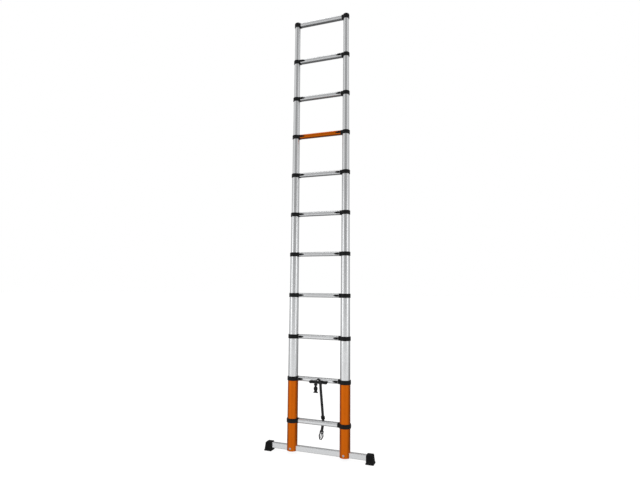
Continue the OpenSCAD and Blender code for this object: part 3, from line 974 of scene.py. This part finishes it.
class LADDER_OT_rung_clamps(LadderOperator):
    """Moulds the clamps that hold the lowest rung to the base tubes"""
    bl_idname = "ladder.rung_clamps"
    bl_label = "Rung clamps"

    def execute(self, context):
        z = rung_z(1)
        bore, outer = BASE_RADIUS + FIT, BASE_RADIUS + shape().clamp_proud
        place = (-STILE_X, 0, z)
        ring = turned("ring", [(bore, -HALF_COLLAR), *ring_outside(outer, crown=3.4 * MM),
                               (bore + 0.6 * MM, HALF_COLLAR), (bore, HALF_COLLAR - 0.6 * MM),
                               (bore, -HALF_COLLAR)], place)
        body = socket_block("clamp", 1, -rung_end(1) + SPIGOT_REACH)
        carve(body, turned("reamer", [(bore, -30 * MM), (bore, 30 * MM)], place))
        fuse(body, ring)
        screw_at = (-STILE_X - outer, 0, z)
        fuse(body, turned("seat", [(7 * MM, -2 * MM), (7 * MM, 0.4 * MM), (6.2 * MM, 1.2 * MM)], screw_at,
                          (0, math.radians(-90), 0), 40))
        carve(body, turned("drill", [(2.7 * MM, -10 * MM), (2.7 * MM, 10 * MM)], screw_at, ALONG_X, 24))
        piece = on_both_sides("rung_clamp_pair", body)
        hand_over(piece, "base", "black_nylon", "rung_clamps")
        return {"FINISHED"}


class LADDER_OT_latches(LadderOperator):
    """Makes the release buttons with their carriages, pins and springs"""
    bl_idname = "ladder.latches"
    bl_label = "Latches"

    def execute(self, context):
        first = latch("latch_first", 2)
        for k in range(2, RUNG_COUNT):
            by = (tube_radius(k) - tube_radius(2), 0, rung_z(k) - rung_z(2))
            left = copy_of(first, f"button_{k}_left", by)
            right = mirrored(left, f"button_{k}_right")
            for piece, side in ((left, "left"), (right, "right")):
                hand_over(piece, f"button_{k}_{side}", "black_nylon", f"latch_{k}_{side}")
        bpy.data.objects.remove(first)
        return {"FINISHED"}


def latch(name, k):
    """The left latch of rung k: a tapering button with thumb ridges, its carriage, pin and coil spring."""
    surface, z = tube_radius(k) - STILE_X, rung_z(k)
    front = -RUNG_HALF_DEPTH - 0.4 * MM
    proud = shape().button_proud
    from_x, to_x = surface + 13 * MM, surface + 42 * MM
    button = cube(name, ((from_x + to_x) / 2, front - proud / 2, z), (to_x - from_x, proud, 16 * MM))
    with Shaping(button) as work:
        for place in (from_x + 10 * MM, to_x - 8 * MM, to_x - 3 * MM):
            work.cut((place, 0, 0), (1, 0, 0))
        # The outline narrows towards the tip
        for place, ratio in ((to_x - 8 * MM, 0.86), (to_x - 3 * MM, 0.75), (to_x, 0.5)):
            work.pick("VERT", lambda corner: at(corner.co.x, place))
            work.resize((1, 1, ratio), (0, 0, z))
        # The front slopes down to the tip
        work.pick("VERT", lambda corner: corner.co.x > to_x - 4 * MM and corner.co.y < front - proud / 2)
        work.move((0, 0.9 * MM, 0))
        work.pick("VERT", lambda corner: at(corner.co.x, to_x) and corner.co.y < front - proud / 4)
        work.move((0, 1.2 * MM, 0))
        work.pick("EDGE", lambda edge: is_sharp(edge) and middle(edge).y < front - proud / 2)
        work.bevel(1.2 * MM, 3)
        # Thumb ridges stand across the button
        for i in range(4):
            for offset in (0, 1.2 * MM):
                work.cut((from_x + (3 + 2.6 * i) * MM + offset, 0, 0), (1, 0, 0))
        work.pick("FACE", lambda face: face.normal.y < -0.97 and any(
            from_x + (3 + 2.6 * i) * MM < middle(face).x < from_x + (4.2 + 2.6 * i) * MM for i in range(4)))
        work.extrude((0, -0.8 * MM, 0))
        work.resize((1, 1, 0.9), (0, 0, z))
    ease_edges(button, 0.18 * MM, 2, 40)
    place = (surface, 0, z)
    carriage = block("carriage", place, (27.5, -16.6, -8.5), (41, 8.5, 8.5), 0, 1.5, 0.5)
    carve(carriage, turned("drill", [(PIN_RADIUS + FIT, 20 * MM), (PIN_RADIUS + FIT, 36.5 * MM)], place,
                           ALONG_X, 32))
    stem = rounded_block("stem", (surface + 31 * MM, front - 0.5 * MM, z - 3 * MM),
                         (surface + 39 * MM, -16 * MM, z + 3 * MM), 1, 1 * MM, 0)
    pin = turned("pin", [(PIN_RADIUS - 0.9 * MM, -1.5 * MM), (PIN_RADIUS - 0.3 * MM, -1.1 * MM),
                         (PIN_RADIUS, -0.4 * MM), (PIN_RADIUS, 36.4 * MM)], place, ALONG_X, 32)
    spring = coil_spring((surface + 41.3 * MM, 0, z), 16.4 * MM, 4.4 * MM, 0.55 * MM, 6)
    for plastic in (button, carriage, stem):
        painted(plastic, finish("grained_nylon"))
    for metal in (pin, spring):
        painted(metal, finish("zinc_steel"))
    return joined(name, [button, carriage, stem, pin, spring])


def coil_spring(place, length, radius, wire, turns):
    """A coil along +X: a small circle spun round and drawn along, turn after turn."""
    sides, rings = 8, 20 * turns
    spring = start("spring", bpy.ops.mesh.primitive_circle_add, vertices=sides, radius=wire, fill_type="NGON",
                   location=(radius, 0, 0), rotation=(math.radians(90), 0, 0))
    with Shaping(spring) as work:
        work.pick("FACE")
        bpy.ops.mesh.spin(steps=rings, angle=math.radians(360 * turns), center=(0, 0, 0), axis=(0, 0, 1))
        work.face_outwards()
    # Draws each ring of the spun tube along the axis in proportion to its turn
    for number, corner in enumerate(spring.data.vertices):
        corner.co.z += (length - 2 * wire) * (number // sides) / rings + wire
    return put(spring, place, ALONG_X)


# Widths of a foot at its sole, just above it and at its top; the sole's thickness and the upper's start
SOLE_WIDTH = 57 * MM
UPPER_WIDTH = 51 * MM
FOOT_TOP_WIDTH = 45 * MM
SOLE_THICK = 7 * MM
UPPER_FROM = 11 * MM


class LADDER_OT_feet(LadderOperator):
    """Moulds the flared rubber feet, with their soles, side ribs and the bar's pocket"""
    bl_idname = "ladder.feet"
    bl_label = "Feet"

    def execute(self, context):
        sole_mid = FOOT_HIGH.x - SOLE_WIDTH / 2
        inner, outer = sole_mid - UPPER_WIDTH / 2, sole_mid + UPPER_WIDTH / 2
        half_depth, height = FOOT_HIGH.y, FOOT_HIGH.z
        foot = cube("foot", (sole_mid, 0, height / 2), (SOLE_WIDTH, 2 * half_depth, height))
        with Shaping(foot) as work:
            # A straight sole, a waist above it, then the upper whose outer side leans inwards to the top
            work.cut((0, 0, SOLE_THICK), (0, 0, 1))
            work.cut((0, 0, UPPER_FROM), (0, 0, 1))
            work.pick("VERT", lambda corner: corner.co.z > UPPER_FROM - 1 * MM)
            work.resize((UPPER_WIDTH / SOLE_WIDTH, 0.94, 1), (sole_mid, 0, 0))
            work.pick("VERT", lambda corner: corner.co.z > height - 1 * MM)
            work.resize((FOOT_TOP_WIDTH / UPPER_WIDTH, 0.93, 1), (inner, 0, 0))
            work.pick("EDGE", lambda edge: run(edge, 2) > 2 * MM)
            work.bevel(4 * MM, 4)
            work.pick("EDGE", lambda edge: both_at(edge, 2, height))
            work.bevel(2.5 * MM, 3)
            work.pick("EDGE", lambda edge: both_at(edge, 2, 0.0) or both_at(edge, 2, SOLE_THICK))
            work.bevel(0.9 * MM, 2)
        pocket = rounded_block("pocket", (sole_mid - SOLE_WIDTH, -BAR_HIGH.y - FIT, BAR_LOW.z - FIT),
                               (BAR_HIGH.x + FIT, BAR_HIGH.y + FIT, BAR_HIGH.z + FIT), 0, 4 * MM, 0)
        carve(foot, pocket)
        # Grooves across the sole, then side ribs up the outer face
        for y in range(-24, 25, 8):
            groove = rounded_block("groove", (sole_mid - SOLE_WIDTH, (y - 1.4) * MM, -2 * MM),
                                   (sole_mid + SOLE_WIDTH, (y + 1.4) * MM, 2.4 * MM), 0, 1.1 * MM, 0, 3)
            carve(foot, groove)
        for z in range(19, 50, 5):
            lean = (UPPER_WIDTH - FOOT_TOP_WIDTH) * (z * MM - UPPER_FROM) / (height - UPPER_FROM)
            groove = rounded_block("groove", (outer - lean - 1.2 * MM, -17 * MM, (z - 0.9) * MM),
                                   (outer + 20 * MM, 17 * MM, (z + 0.9) * MM), 1, 0.4 * MM, 0, 2)
            carve(foot, groove)
        piece = on_both_sides("rubber_feet", foot)
        hand_over(piece, "base", "black_rubber", "feet")
        return {"FINISHED"}


class LADDER_OT_bolts(LadderOperator):
    """Makes the bar's dome-headed bolts with their lock nuts, and the pan-head screws"""
    bl_idname = "ladder.bolts"
    bl_label = "Bolts and screws"

    def execute(self, context):
        seat = BASE_RADIUS
        place = (-STILE_X, 0, BAR_MID_Z)
        head = turned("bolt", [(4 * MM, -seat - 6 * MM), (4 * MM, seat), (8 * MM, seat),
                               (8 * MM, seat + 1.2 * MM), (7.6 * MM, seat + 2.6 * MM),
                               (6.4 * MM, seat + 4.2 * MM), (4.6 * MM, seat + 5.4 * MM),
                               (3.2 * MM, seat + 5.8 * MM)], place, TO_FRONT, 48)
        carve(head, turned("recess", [(2.9 * MM, seat + 2.4 * MM), (2.9 * MM, seat + 8 * MM)], place,
                           TO_FRONT, 6))
        nut = turned("nut", [(4.05 * MM, -seat), (7.5 * MM, -seat), (7.5 * MM, -seat - 4 * MM),
                             (6.4 * MM, -seat - 4.6 * MM), (5.8 * MM, -seat - 6 * MM),
                             (4.05 * MM, -seat - 6 * MM), (4.05 * MM, -seat)], place, TO_FRONT, 6)
        ease_edges(nut, 0.3 * MM, 2, 20)
        bolts = on_both_sides("bar_bolt_pair", joined("bolt", [head, nut]))
        hand_over(bolts, "base", "steel", "bar_bolts")

        face = STILE_X + BASE_RADIUS + shape().clamp_proud
        clamp_screw = pan_screw("screw", 2.4 * MM, 20 * MM)
        put(clamp_screw, (-face - 1.2 * MM, 0, rung_z(1)), (0, math.radians(-90), 0))
        clamp_screws = on_both_sides("clamp_screws", clamp_screw)
        handle_screw = pan_screw("handle_screw", 2.4 * MM, 18 * MM)
        put(handle_screw, (HANDLE_X, HANDLE_LOW.y, HANDLE_SCREW_Z), TO_FRONT)
        screws = joined("fixing_screw_set", [clamp_screws, handle_screw])
        hand_over(screws, "base", "steel", "fixing_screws")
        return {"FINISHED"}


def pan_screw(name, radius, length):
    """A screw that stands on the origin with its pan head upwards and a cross recess."""
    screw = turned(name, [(0.6 * MM, -length), (radius, 2.5 * MM - length), (radius, 0), (4.5 * MM, 0),
                          (4.5 * MM, 0.7 * MM), (4.1 * MM, 1.5 * MM), (3.2 * MM, 1.2 * MM + 0.8 * MM),
                          (1.6 * MM, 2.3 * MM)], segments=32)
    for size in ((3.6 * MM, 0.9 * MM, 4 * MM), (0.9 * MM, 3.6 * MM, 4 * MM)):
        carve(screw, cube("cross", (0, 0, 3 * MM), size))
    return screw


class LADDER_OT_carry_handle(LadderOperator):
    """Moulds the carry handle with its swollen ends, grip ribs and screwed boss"""
    bl_idname = "ladder.carry_handle"
    bl_label = "Carry handle"

    def execute(self, context):
        low, high = HANDLE_LOW, HANDLE_HIGH
        handle = cube("carry_handle_grip", (HANDLE_X, GRIP_Y, GRIP_Z),
                      (high.x - low.x, GRIP_BACK - low.y, GRIP_HIGH - GRIP_LOW))
        with Shaping(handle) as work:
            for offset in (-62, -56, -40, -9, 9, 40, 56, 62):
                work.cut((HANDLE_X + offset * MM, 0, 0), (1, 0, 0))
            # The grip swells between its waist and its shoulders, and narrows to round ends
            for near, far, deep, tall in ((39, 41, 0.90, 0.86), (61, 63, 0.94, 0.88), (67, 69, 0.70, 0.56)):
                work.pick("VERT", lambda corner: near * MM < abs(corner.co.x - HANDLE_X) < far * MM)
                work.resize((1, deep, tall), (HANDLE_X, GRIP_Y, GRIP_Z))
            work.pick("EDGE", lambda edge: run(edge, 0) > 3 * MM and is_sharp(edge))
            work.bevel(4.4 * MM, 5)
            work.pick("EDGE", lambda edge: both_at(edge, 0, low.x) or both_at(edge, 0, high.x))
            work.bevel(2 * MM, 3)
        for side in (-1, 1):
            for i in range(5):
                x = HANDLE_X + side * (35 + 4.4 * i) * MM
                carve(handle, turned("groove", [(14 * MM, -0.7 * MM), (14 * MM, 0.7 * MM)],
                                     (x, GRIP_Y - 23.6 * MM, GRIP_Z), ALONG_X, 48))
        boss = rounded_block("boss", (HANDLE_X - 5.5 * MM, low.y, GRIP_LOW + 4 * MM),
                             (HANDLE_X + 5.5 * MM, -RUNG_HALF_DEPTH - FIT, high.z - 3 * MM), 1, 4 * MM,
                             0.8 * MM)
        fuse(handle, boss)
        front = -low.y - 2 * MM
        back = RUNG_HALF_DEPTH + FIT
        screw_at = (HANDLE_X, 0, HANDLE_SCREW_Z)
        pad = turned("pad", [(12 * MM, back), (12 * MM, front - 3.5 * MM), (11.4 * MM, front - 1.8 * MM),
                             (10 * MM, front - 0.6 * MM), (8 * MM, front)], screw_at, TO_FRONT)
        carve(pad, cube("trim", (HANDLE_X, low.y, HANDLE_SCREW_Z - 20.4 * MM), (60 * MM, 60 * MM, 40 * MM)))
        fuse(handle, pad)
        carve(handle, turned("drill", [(2.45 * MM, 0), (2.45 * MM, 60 * MM)], screw_at, TO_FRONT, 24))
        hand_over(handle, "base", "black_nylon", "carry_handle")
        return {"FINISHED"}


def webbing_loop(name, x, tail):
    """Webbing sewn round the grip: a flattened band, with its ends closed below it."""
    width, front = shape().webbing_width, HANDLE_LOW.y
    radius = (GRIP_BACK - front) / 2 + 0.9 * MM
    stretch = (GRIP_HIGH - GRIP_LOW) / 2 + 0.9 * MM - radius
    band = start(name, bpy.ops.mesh.primitive_cylinder_add, vertices=32, radius=radius, depth=width,
                 end_fill_type="NOTHING", location=(x, GRIP_Y, GRIP_Z), rotation=ALONG_X)
    # Round the band the map runs across the picks, so its two directions are swapped
    for corner in band.data.uv_layers.active.data:
        corner.uv = (corner.uv[1], corner.uv[0])
    map_in_metres(band, 2 * width, 76 * MM)
    with Shaping(band) as work:
        work.pick("VERT", lambda corner: corner.co.z > GRIP_Z + 0.1 * MM)
        work.move((0, 0, stretch))
        work.pick("VERT", lambda corner: corner.co.z < GRIP_Z - 0.1 * MM)
        work.move((0, 0, -stretch))
    modified(band, "SOLIDIFY", thickness=shape().webbing_thick, offset=0)
    ease_edges(band, 0.5 * MM, 2, 50)
    foot_z = LOOPS_LOW.z if tail else LOOPS_HIGH.z - 25.0 * MM - 0.1 * MM
    end = rounded_block(name + "_end", (x - width / 2, GRIP_Y - 1.7 * MM, foot_z),
                        (x + width / 2, GRIP_Y + 1.7 * MM, GRIP_Z - stretch - radius + 1 * MM), 0,
                        0.6 * MM, 0.4 * MM, 2)
    map_in_metres(end, 4 * width, 60 * MM)
    row = [Vector((x + side * 8 * MM, front - 1.9 * MM, GRIP_Z - 6.4 * MM)) for side in (-1, 1)]
    stitches = stitch_row(name + "_stitches", *row, Vector((0, -1, 0)))
    return [painted(band, finish("woven_webbing")), painted(end, finish("woven_webbing")),
            painted(stitches, finish("thread"))]


class LADDER_OT_strap_loops(LadderOperator):
    """Sews the two webbing loops round the handle's grip"""
    bl_idname = "ladder.strap_loops"
    bl_label = "Strap loops"

    def execute(self, context):
        solids = webbing_loop("loop_long", HANDLE_X + 18 * MM, False)
        solids += webbing_loop("loop_short", HANDLE_X - 18 * MM, True)
        hand_over(joined("handle_webbing", solids), "base", "webbing", "strap_loops")
        return {"FINISHED"}


class LADDER_OT_buckle_socket(LadderOperator):
    """Moulds the socket half of the side-release buckle, which hangs with its mouth down"""
    bl_idname = "ladder.buckle_socket"
    bl_label = "Buckle socket"

    def execute(self, context):
        top = SOCKET_HIGH.z + 1 * MM
        x, y = (SOCKET_LOW.x + SOCKET_HIGH.x) / 2, (SOCKET_LOW.y + SOCKET_HIGH.y) / 2
        body = cube("buckle_socket_body", (x, y, top - 12 * MM), (16 * MM, 8 * MM, 12 * MM))
        with Shaping(body) as work:
            work.pick("FACE", lambda face: face.normal.z < -0.9)
            # Down from the webbing bar: drop, then half width and half depth
            wide, deep = 8, 4
            for drop, half_width, half_depth in (
                    (3, 12, 4.6), (6, 13.8, 5), (8, 13.8, 5), (6, 11.4, 5), (5, 9.6, 5), (4, 10.4, 5.2),
                    (4, 13.6, 5.6), (3, 16, 5.9), (3, 17, 6)):
                work.extrude((0, 0, -drop * MM))
                work.resize((half_width / wide, half_depth / deep, 1), (x, y, 0))
                wide, deep = half_width, half_depth
            work.pick("EDGE", lambda edge: run(edge, 2) > 1 * MM and is_sharp(edge))
            work.bevel(2.0 * MM, 4)
        ease_edges(body, 0.5 * MM, 2, 35)
        about = (x, y, top)
        carve(body, block("mouth", about, (-12, -3, -70), (12, 3, -24), 2, 1.2))
        carve(body, block("windows", about, (-30, -2.2, -50), (30, 2.2, -34), 0, 1.6))
        carve(body, block("panel", about, (-8, -8, -37), (8, -4.75, -24), 1, 3))
        fuse(body, block("bar", about, (-13, -4, -9), (13, 4, -1), 1, 2.5, 0.8))
        carve(body, block("slot", about, (-10.5, -2.2, -7), (10.5, 2.2, 5), 2, 0.8))
        hand_over(body, "base", "black_nylon", "buckle_socket")
        return {"FINISHED"}


class LADDER_OT_metalwork(LadderOperator):
    """Gives the tubes, rungs, bar and inner plugs their finishes"""
    bl_idname = "ladder.metalwork"
    bl_label = "Metal finishes"

    def execute(self, context):
        looks = {"base_tubes": "orange_upright", "stabiliser_bar": "aluminium_across",
                 "base_plugs": "grained_nylon"}
        looks.update({f"stiles_{k}": "aluminium_upright" for k in range(3, RUNG_COUNT + 1)})
        looks.update({f"rung_{k}": "aluminium_across" for k in range(1, RUNG_COUNT + 1)})
        looks["rung_8"] = "orange_across"
        for node, look in looks.items():
            painted(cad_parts[node], finish(look))
        return {"FINISHED"}


class LADDER_OT_stage(LadderOperator):
    """Lays the floor and sets the studio's lights"""
    bl_idname = "ladder.stage"
    bl_label = "Floor and lights"

    def execute(self, context):
        floor = start("floor", bpy.ops.mesh.primitive_plane_add, size=120)
        painted(floor, studio_floor("studio_floor", studio().floor))
        # The pale floor lights the ladder, but isn't mirrored in its tubes
        floor.visible_glossy = False
        context.scene.view_settings.view_transform = "Standard"
        surround(context.scene)
        # Name, place, width, height and power of each soft box, all aimed at the lower half of the ladder
        boxes = [("key", (-3.4, -3.0, 1.4), 1.2, 2.4, 12), ("fill", (4.0, -1.4, 1.4), 1.2, 2.4, 10),
                 ("overhead", (0, -0.3, 6.5), 4.0, 4.0, 60)]
        for name, place, width, height, power in boxes:
            soft_box(name, Vector(place), width, height, power)
        return {"FINISHED"}


def surround(scene):
    """A white backdrop, and soft grey light from all round, as from white panels and a pale floor."""
    world = bpy.data.worlds.new("studio")
    scene.world = world
    world.use_nodes = True
    page = NodePage(world.node_tree)
    view = page.node("ShaderNodeTexCoord", out="Generated")
    way = page.node("ShaderNodeSeparateXYZ", {}, {"Vector": view}, None)
    x, y, z = way("X"), way("Y"), way("Z")
    level = (x * x + y * y + 1e-4).math("SQRT")

    def facing(degrees):
        """1 towards the camera's side turned so far to its left, 0.5 beside it and 0 behind the ladder."""
        angle = math.atan2(studio().eye[1], studio().eye[0]) - math.radians(degrees)
        return (x * math.cos(angle) + y * math.sin(angle)).math("DIVIDE", level) * 0.5 + 0.5

    # White panels stand at both sides, with a dimmer gap between them in front
    panels = page.ramp(facing(4), [(0, 0.44), (0.18, 0.46), (0.33, 0.66), (0.5, 0.90), (0.72, 0.98),
                                   (0.88, 0.64), (0.96, 0.44), (1, 0.40)])
    # The floor in front is bright, and falls away behind
    ground = page.ramp(facing(16), [(0, 0.18), (0.2, 0.21), (0.36, 0.35), (0.58, 0.60), (0.80, 0.93),
                                    (0.96, 1), (1, 0.97)]) * 1.22
    above = z.over(-0.14, 0.10)
    by_height = page.ramp(z * 0.5 + 0.5, [
        (0, 0.50), (0.2, 0.56), (0.31, 0.62), (0.34, 0.59), (0.352, 0.70), (0.366, 0.97), (0.46, 1),
        (0.52, 0.92), (0.60, 0.88), (0.68, 0.97), (0.8, 0.88), (1, 0.7)])
    strength = (ground * (1 - above) + panels * above) * by_height * studio().room
    light, seen = [
        page.node("ShaderNodeBackground", {}, {"Color": (1, 1, 1, 1), "Strength": value}, "Background")
        for value in (strength, studio().backdrop)]
    straight = page.node("ShaderNodeLightPath", out="Is Camera Ray")
    both = page.node("ShaderNodeMixShader", {}, {0: straight, 1: light, 2: seen}, "Shader")
    page.node("ShaderNodeOutputWorld", {}, {"Surface": both}, None)


def soft_box(name, place, width, height, power):
    """One rectangular area light."""
    bpy.ops.object.select_all(action="DESELECT")
    bpy.ops.object.light_add(type="AREA", location=place)
    lamp = bpy.context.object
    lamp.name = name
    lamp.data.shape = "RECTANGLE"
    lamp.data.size = width
    lamp.data.size_y = height
    lamp.data.energy = power
    aim = Vector((0, 0, 1.0)) - place
    lamp.rotation_euler = aim.to_track_quat("-Z", "Y").to_euler()


OPERATORS = (
    LADDER_OT_camera, LADDER_OT_long_strap, LADDER_OT_collars, LADDER_OT_top_caps, LADDER_OT_rung_clamps,
    LADDER_OT_latches, LADDER_OT_feet, LADDER_OT_bolts, LADDER_OT_carry_handle, LADDER_OT_strap_loops,
    LADDER_OT_buckle_socket, LADDER_OT_metalwork, LADDER_OT_stage,
)


class LADDER_PT_panel(bpy.types.Panel):
    """Sizes, colours and the steps that build the ladder's looks"""
    bl_idname = "LADDER_PT_panel"
    bl_label = "Telescopic ladder"
    bl_space_type = "VIEW_3D"
    bl_region_type = "UI"
    bl_category = "Ladder"

    def draw(self, context):
        for settings in (shape(), colours(), studio()):
            box = self.layout.box()
            for name in settings.__annotations__:
                box.prop(settings, name)
        for operator in OPERATORS:
            self.layout.operator(operator.bl_idname)


GROUPS = {"ladder_shape": LadderShape, "ladder_colours": LadderColours, "ladder_studio": LadderStudio}


def register():
    for group in GROUPS.values():
        bpy.utils.register_class(group)
    for name, group in GROUPS.items():
        setattr(bpy.types.Scene, name, bpy.props.PointerProperty(type=group))
    for operator in OPERATORS:
        bpy.utils.register_class(operator)
    bpy.utils.register_class(LADDER_PT_panel)


def unregister():
    bpy.utils.unregister_class(LADDER_PT_panel)
    for operator in reversed(OPERATORS):
        bpy.utils.unregister_class(operator)
    for name, group in GROUPS.items():
        delattr(bpy.types.Scene, name)
        bpy.utils.unregister_class(group)


def main():
    register()
    for operator in OPERATORS:
        getattr(bpy.ops.ladder, operator.bl_idname.split(".")[1])()


if __name__ == "__main__":
    main()
